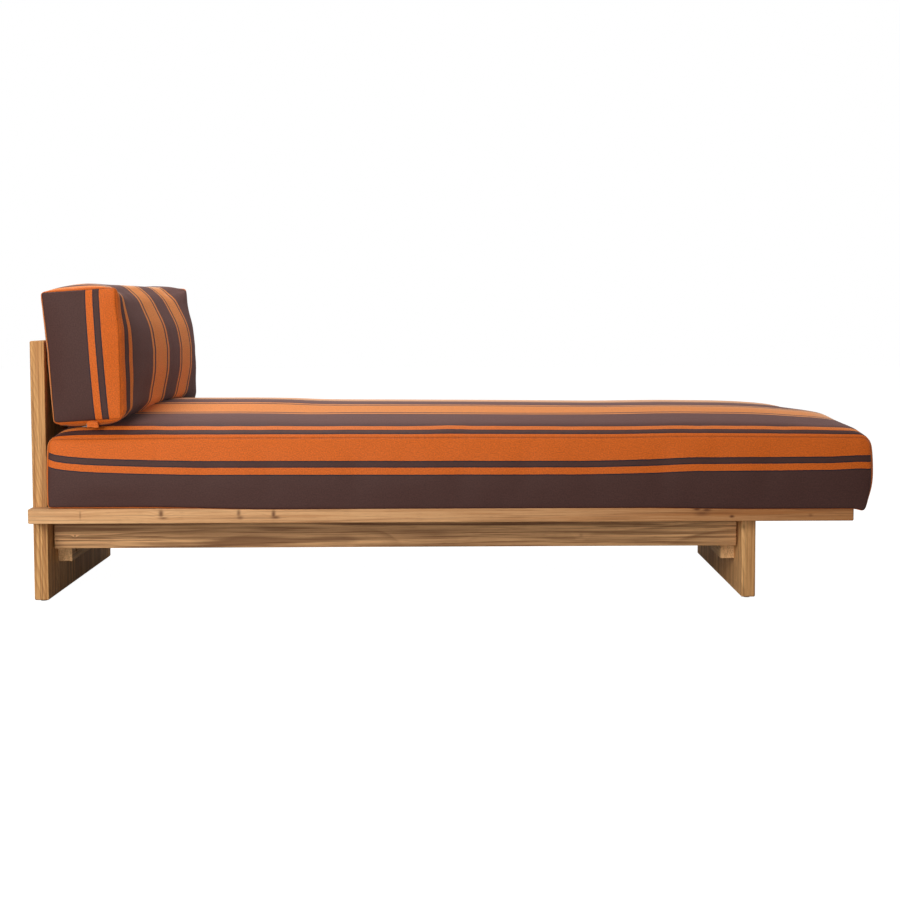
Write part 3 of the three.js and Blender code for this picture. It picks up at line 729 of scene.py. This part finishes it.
def banded(wire, shades):
    """The stripes as a colour ramp across the cloth, in the given shades."""
    ramp = wire.add("ValToRGB", {0: wire / (REPEAT * MM)})
    colours = ramp.node.color_ramp
    colours.interpolation = "CONSTANT"
    colours.elements.remove(colours.elements[1])
    for place, yarn in BANDS:
        stop = colours.elements[0] if place == 0 else colours.elements.new(place / REPEAT)
        stop.color = shades[yarn]
    return ramp


striped, shader, w = finish("striped_cloth")
cloth_uv = w.add("UVMap", uv_map="cloth")
parts = w.add("SeparateXYZ", {0: cloth_uv})
along_wire, across_wire = parts.output("X"), parts.output("Y")


def cloth_noise(lengthwise, crosswise, detail=2.0):
    """Noise with so many cells in a metre along the cloth and across it."""
    cells = w.add("CombineXYZ", {0: along_wire * lengthwise, 1: across_wire * crosswise})
    return w.add("TexNoise", {"Vector": cells, "Scale": 1.0, "Detail": detail})


# Stripes with a painted sheen: paler shades mixed into the base colour by the angle of view
facing = w.add("LayerWeight", {"Blend": 0.5}).output("Facing")
full, soft, grazing_sheen_stripes = [banded(abs(across_wire), shades) for shades in (SHADES, SLANT_SHEEN_SHADES, GRAZING_SHEEN_SHADES)]
colour = facing.between(0.3, 0.9).tint(full, soft)
colour = facing.between(0.86, 0.97).tint(colour, grazing_sheen_stripes)

# Yarns and wear, and a painted shade along the seams, where the cloth dips into the seam's groove
warp, slubs = cloth_noise(60, 900), cloth_noise(700, 420, 1.0)
seam_place = w.add("Attribute", attribute_name="from_seam").output("Fac")
# Near each seam: painted shade in the colour, and the groove in the relief below
seam_groove_shade = fading(seam_place * seam_place / GROOVE ** 2)
fleck = w.add("TexNoise", {"Vector": cloth_uv, "Scale": 330.0, "Detail": 2.0})
worn = 0.68 + (warp * 0.6 + slubs * 0.4).between(0.25, 0.75) * 0.30 \
    + fleck.between(0.3, 0.7) * 0.34 - seam_groove_shade * 0.36
feed(colour.times(w.add("CombineColor", {0: worn, 1: worn, 2: worn})), shader, "Base Color")

# Relief: the weave, puckers along the seams and slack in the middle
over = w.maths("SINE", along_wire * (2 * math.pi / YARN))
under = w.maths("SINE", across_wire * (2 * math.pi / YARN))
gather, slack = cloth_noise(46, 7), cloth_noise(7, 16)
weave = over * under * 0.10 + slubs * 0.25
puckers = gather * fading(abs(seam_place) / PUCKER_REACH) * 4.5 + slack * 5.0
relief = w.add("Bump", {"Height": weave + puckers - seam_groove_shade * 2.0,
                        "Strength": 0.55, "Distance": 0.0008})
feed(relief, shader, "Normal")
shader.inputs["Roughness"].default_value = 0.66
shader.inputs["Specular IOR Level"].default_value = 0.3
shader.inputs["Sheen Weight"].default_value = 0.05
shader.inputs["Sheen Roughness"].default_value = 0.4
shader.inputs["Sheen Tint"].default_value = (1.0, 0.82, 0.8, 1)
print("bands in the repeat:", len(BANDS))

# %% [markdown]
# ## The bolster
# The bolster is sewn like the mattress: a strip round its front, top, back and underside,
# and an upright panel at each end. It stands on the mattress, turned a little, and leans
# back on the head panel's edge. Its faces swell far out between the seams, most of all at
# the front.

# %% Shape the bolster where it stands
THICK, LONG, TALL = 183, 814, 320
TILT, TURN = math.radians(3.6), math.radians(2.7)
HEAD_END, SHIFT = -1023.5, (4, 0, -1)
xs = rows(THICK, [(7, 3), (36, 4)], 11)
ys = rows(LONG, [(7, 3), (40, 4)], 12)
zs = rows(TALL, [(7, 3), (36, 4)], 12)
cell, quads, sides = grid_shell(xs, ys, zs)


def bolster_corner(p):
    """The same for the bolster."""
    seam = np.where(p[:, 2] > 0, 8, 12)
    full = np.where(p[:, 2] > 0, np.where(p[:, 0] > 0, 44, 26), 22)
    return seam + (full - seam) * swell(LONG / 2 - np.abs(p[:, 1]), 50)


def plumped(q, half):
    """Rest points of the bolster, from its rounded points q, in mm."""
    sx, sy, sz = (q / half).T
    from_face, from_end, from_top = (half - np.abs(q)).T
    middle = swell(from_top, 60) ** 2.2
    face = swell(from_end, 66) * middle
    heel = 14 * swell(from_end, 22) * (1 - middle) * smooth(-sz * 2) * smooth(from_top / 25)
    shape = q.copy()

    # Front and back swell out between the seams, and the front is a little askew
    shape[:, 0] += ((33 + 9 * sy) * face + heel) * np.maximum(sx, 0)
    shape[:, 0] += 18 * np.minimum(sx, 0) * face
    shape[:, 0] += (sx + 1) / 2 * (5.8 * sy + 2.8 * sz - 5.5 * sy * sz)

    # The front draws in at the top, at the foot and towards the far end
    front, inner = np.maximum(sx, 0), swell(from_end, 60)
    shape[:, 0] -= front * smooth(sz * 2 - 0.6) * (6 + 5 * inner)
    shape[:, 0] -= front * smooth(-sz * 2 - 0.4) * 9 * inner
    shape[:, 0] -= front * smooth(sy + 0.2) * 8 * (1 - 0.6 * np.maximum(sz, 0))

    # The top is thicker behind at its near end, and in front and above at its far end. Top
    # and underside are crowned, and both ends bulge.
    shape[:, 0] += 5 * smooth(sz) * (np.minimum(sx, 0) * smooth(-sy) + front * smooth(sy * 2 - 1))
    shape[:, 2] += 7 * smooth(sz) * smooth(sy * 2 - 1)
    shape[:, 2] += 20 * np.maximum(sz, 0) * swell(from_end, 40) * swell(from_face, 18)
    shape[:, 2] += 14 * np.minimum(sz, 0) * swell(from_end, 20) * swell(from_face, 20)
    shape[:, 1] += sy * 10 * (1 - sx ** 2) * (1 - sz ** 2)
    return shape + SHIFT


rolled, boxed = rounded(cell, xs, ys, zs, bolster_corner, (7, 7), (85, 55))
half = np.array([THICK, LONG, TALL]) / 2
form = plumped(rolled, half)
seat = Vector((156.29 + HEAD_END, 0, 603.51)) * MM
stand = Matrix.Translation(seat) @ Euler((0, -TILT, -TURN), "XYZ").to_matrix().to_4x4()
print("bolster rows:", len(xs), len(ys), len(zs), "quads:", len(quads))

# %% Lay the cloth on it
NEAR_TO_MIDDLE, END_MIDDLE = 432.5, 528.5
across = strip_across(form, cell, len(xs) - 1, len(zs) // 2) - NEAR_TO_MIDDLE
corners = quads.ravel()
side = np.repeat(sides, 4)
p = boxed[corners]
panel = (side == 2) | (side == 3)
along = np.where(panel, p[:, 2], strip_along(p, half, side))
sewn = np.where(panel, END_MIDDLE - form[corners, 0], across[cell[corners, 1]])
turned = (np.c_[form * MM, np.ones(len(form))] @ np.array(stand).T)[:, :3]
bolster_seam = inside(boxed, half) * MM
bolster = cloth_piece("bolster_cover", turned, quads, np.stack([along, sewn], 1) * MM,
                      bolster_seam)
print("front of the bolster is", round(across[-1] - across[0]), "mm wide between its seams")

# %% [markdown]
# ## Filling the cushions
# A cushion looks stuffed because the filling presses the cloth outwards while the seams and
# the deck hold it. The Cloth modifier does that with a pressure and held points. The cloth
# starts a little larger than the shape, which leaves small slack folds at the seams, and a
# cap on each point's way keeps the cushion in the place of its CAD solid.

# %% Blow up a cushion
SLACK, SEAM_HOLD = 0.012, 0.75


def places(piece):
    """The piece's points as an array."""
    co = np.empty(len(piece.data.vertices) * 3, np.float32)
    piece.data.vertices.foreach_get("co", co)
    return co.reshape(-1, 3).astype(float)


def move(piece, co):
    """Puts the piece's points at new places."""
    piece.data.vertices.foreach_set("co", co.astype(np.float32).ravel())
    piece.data.update()


def alone(piece):
    """Selects this piece and no other."""
    bpy.ops.object.select_all(action="DESELECT")
    bpy.context.view_layer.objects.active = piece
    piece.select_set(True)


def stuff(piece, held, cap, calm, steps=16):
    """Blows the piece up. Held is each point's hold, cap the most that a point may move, in
    metres, and calm how often the movement is evened out between neighbours."""
    rest = places(piece)
    group = piece.vertex_groups.new(name="held")
    for weight in np.unique(held[held > 0]):
        group.add(np.flatnonzero(held == weight).tolist(), float(weight), "REPLACE")
    cloth = piece.modifiers.new("filling", "CLOTH")
    cloth.settings.quality = 4
    cloth.settings.mass = 0.3
    cloth.settings.tension_stiffness = cloth.settings.compression_stiffness = 20
    cloth.settings.bending_stiffness = 0.6
    cloth.settings.use_pressure = True
    cloth.settings.uniform_pressure_force = 4
    cloth.settings.vertex_group_mass = "held"
    cloth.settings.shrink_min = -SLACK
    cloth.settings.effector_weights.gravity = 0
    cloth.collision_settings.use_collision = False
    cloth.point_cache.frame_end = steps
    for step in range(1, steps + 1):
        bpy.context.scene.frame_set(step)
    alone(piece)
    bpy.ops.object.modifier_apply(modifier="filling")
    bpy.context.scene.frame_set(1)
    way = places(piece) - rest
    ends = np.array([edge.vertices[:] for edge in piece.data.edges])
    near = np.bincount(ends.ravel(), minlength=len(way))[:, None]
    for _ in range(calm):
        total = np.zeros_like(way)
        np.add.at(total, ends[:, 0], way[ends[:, 1]])
        np.add.at(total, ends[:, 1], way[ends[:, 0]])
        way = way * 0.5 + total / near * 0.5
    far = np.linalg.norm(way, axis=1, keepdims=True)
    move(piece, rest + way / np.maximum(far, 1e-9) * cap * np.tanh(far / cap))
    piece.vertex_groups.clear()
    print(piece.name, "moved up to", round(float(far.max()) * 1000, 1), "mm before the cap")


co = places(mattress)
under = co[:, 2] < middle[2] - (EDGE / 2 - 6) * MM
on_seam = np.abs(mattress_seam) < 1e-6
stuff(mattress, np.where(under, 1.0, np.where(on_seam, SEAM_HOLD, 0.0)), 0.006, 8)
stuff(bolster, np.where(np.abs(bolster_seam) < 1e-6, SEAM_HOLD, 0.0), 0.008, 3)

# %% [markdown]
# One subdivision rounds the rows off. Then the cushions are pressed together: where the
# bolster meets the mattress or the head panel it is pushed back to just clear of them, as
# its CAD solid is.

# %% Subdivide, and press the bolster against what it rests on
CLEAR = 0.0012


def refine(piece):
    """Subdivides the piece once, and keeps its cloth map as it is."""
    alone(piece)
    finer = piece.modifiers.new("finer", "SUBSURF")
    finer.levels = finer.render_levels = 1
    finer.uv_smooth = "NONE"
    bpy.ops.object.modifier_apply(modifier="finer")


for piece in (mattress, bolster):
    refine(piece)
co = places(bolster)
bed = BVHTree.FromObject(mattress, bpy.context.evaluated_depsgraph_get())
pressed = 0
for i, point in enumerate(co):
    hit = bed.ray_cast(Vector((point[0], point[1], 1.0)), Vector((0, 0, -1)))
    if hit[0] is not None and point[2] < hit[0].z + CLEAR:
        co[i, 2] = hit[0].z + CLEAR
        pressed += 1
panel_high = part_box("head_panel")[1]
behind = (co[:, 0] < panel_high.x + CLEAR) & (co[:, 2] < panel_high.z + CLEAR)
behind &= np.abs(co[:, 1]) < panel_high.y + 0.02
co[behind, 0] = panel_high.x + CLEAR
move(bolster, co)
print("pressed points:", pressed, "on the mattress,", int(behind.sum()), "on the panel")

# %% Hang both cushions on their bodies
for piece, node, fill in ((mattress, "mattress", 0.8), (bolster, "bolster", 0.9)):
    wear([piece], striped)
    for face in piece.data.polygons:
        face.use_smooth = True
    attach(piece, node)
    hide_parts(node)

# %% [markdown]
# ## Closing of the bolster's cover
# The strip's two ends lap over each other at the lower edge of the near end, and the lap
# shows as a small orange fold. The zip that closes the cover starts beside it. Its slider
# comes from the frame, so the chain follows the line that the slider travels on.

# %% Fold the lapped end of the strip
LAP_AT, LAP_SIZE = (-0.8665, -0.4085, 0.4375), (0.027, 0.009, 0.015)
ORANGE_AT, OFF_SEAM = 0.15, 0.02
bpy.ops.object.select_all(action="DESELECT")
bpy.ops.mesh.primitive_cube_add(size=1, location=LAP_AT)
lap = bpy.context.object
lap.name = "bolster_lap"
lap.scale = LAP_SIZE
lap.rotation_euler = (0, math.radians(-8), 0)
bpy.ops.object.transform_apply(location=True, rotation=True, scale=True)
bpy.ops.object.mode_set(mode="EDIT")
bpy.ops.mesh.select_all(action="SELECT")
bpy.ops.mesh.subdivide(number_cuts=5)
bpy.ops.object.mode_set(mode="OBJECT")
for corner in lap.data.vertices:
    spot = corner.co
    share = (spot.x - LAP_AT[0]) / LAP_SIZE[0] + 0.5
    corner.co.z += 0.002 * math.sin(share * 5.5) - 0.003 * max(0, share - 0.6)
    corner.co.y += 0.0012 * math.sin(spot.z * 900)
rounding = lap.modifiers.new("soft", "SUBSURF")
rounding.levels = rounding.render_levels = 2
alone(lap)
bpy.ops.object.modifier_apply(modifier="soft")
bpy.ops.object.shade_smooth()
for layer in list(lap.data.uv_layers):
    lap.data.uv_layers.remove(layer)
layer = lap.data.uv_layers.new(name="cloth")
at = np.array([lap.data.vertices[loop.vertex_index].co for loop in lap.data.loops])
layer.data.foreach_set("uv", np.stack([at[:, 0], ORANGE_AT + at[:, 2] - LAP_AT[2]], 1)
                       .astype(np.float32).ravel())
away = lap.data.attributes.new("from_seam", "FLOAT", "POINT")
away.data.foreach_set("value", np.full(len(lap.data.vertices), OFF_SEAM, np.float32))
wear([lap], striped)
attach(lap, "bolster")
print("lap of the bolster's strip, mm:", [round(v * 1000, 1) for v in lap.dimensions])

# %% Make the zip's chain
TOOTH, LINKS = 0.0024, 27
low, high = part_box("zip_slider")
travel = Vector((-0.99692, 0.04701, -0.06279))
start = (low + high) / 2 + Vector((0, 0, 0.0025)) - travel * 0.008
turned = travel.to_track_quat("X", "Z").to_euler()
bpy.ops.object.select_all(action="DESELECT")
bpy.ops.mesh.primitive_cube_add(size=1, location=(0, 0, 0))
chain = bpy.context.object
chain.name = "zip_chain"
chain.scale = (0.0014, 0.0052, TOOTH)
bpy.ops.object.transform_apply(location=False, rotation=False, scale=True)
bevel = chain.modifiers.new("worn", "BEVEL")
bevel.width, bevel.segments = 0.0003, 2
row = chain.modifiers.new("row", "ARRAY")
row.use_relative_offset, row.use_constant_offset = False, True
row.constant_offset_displace, row.count = (TOOTH, 0, 0), LINKS
for modifier in ("worn", "row"):
    bpy.ops.object.modifier_apply(modifier=modifier)
bpy.ops.mesh.primitive_cube_add(size=1, location=(0.032, 0, 0.0012))
tape = bpy.context.object
tape.name = "zip_tape"
tape.scale = (0.074, 0.016, 0.0012)
bpy.ops.object.transform_apply(location=True, rotation=False, scale=True)
edge = tape.modifiers.new("edge", "BEVEL")
edge.width, edge.segments = 0.0004, 2
bpy.ops.object.modifier_apply(modifier="edge")
for piece in (chain, tape):
    piece.data.transform(Matrix.LocRotScale(start, turned, None))
    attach(piece, "bolster")
wear([chain], steel)
wear([tape], fitting("zip_tape", "#B35A1F", "#94440F", 0.0, 0.8, 800, (1, 6, 1)))
print("zip chain from", [round(v, 3) for v in start])
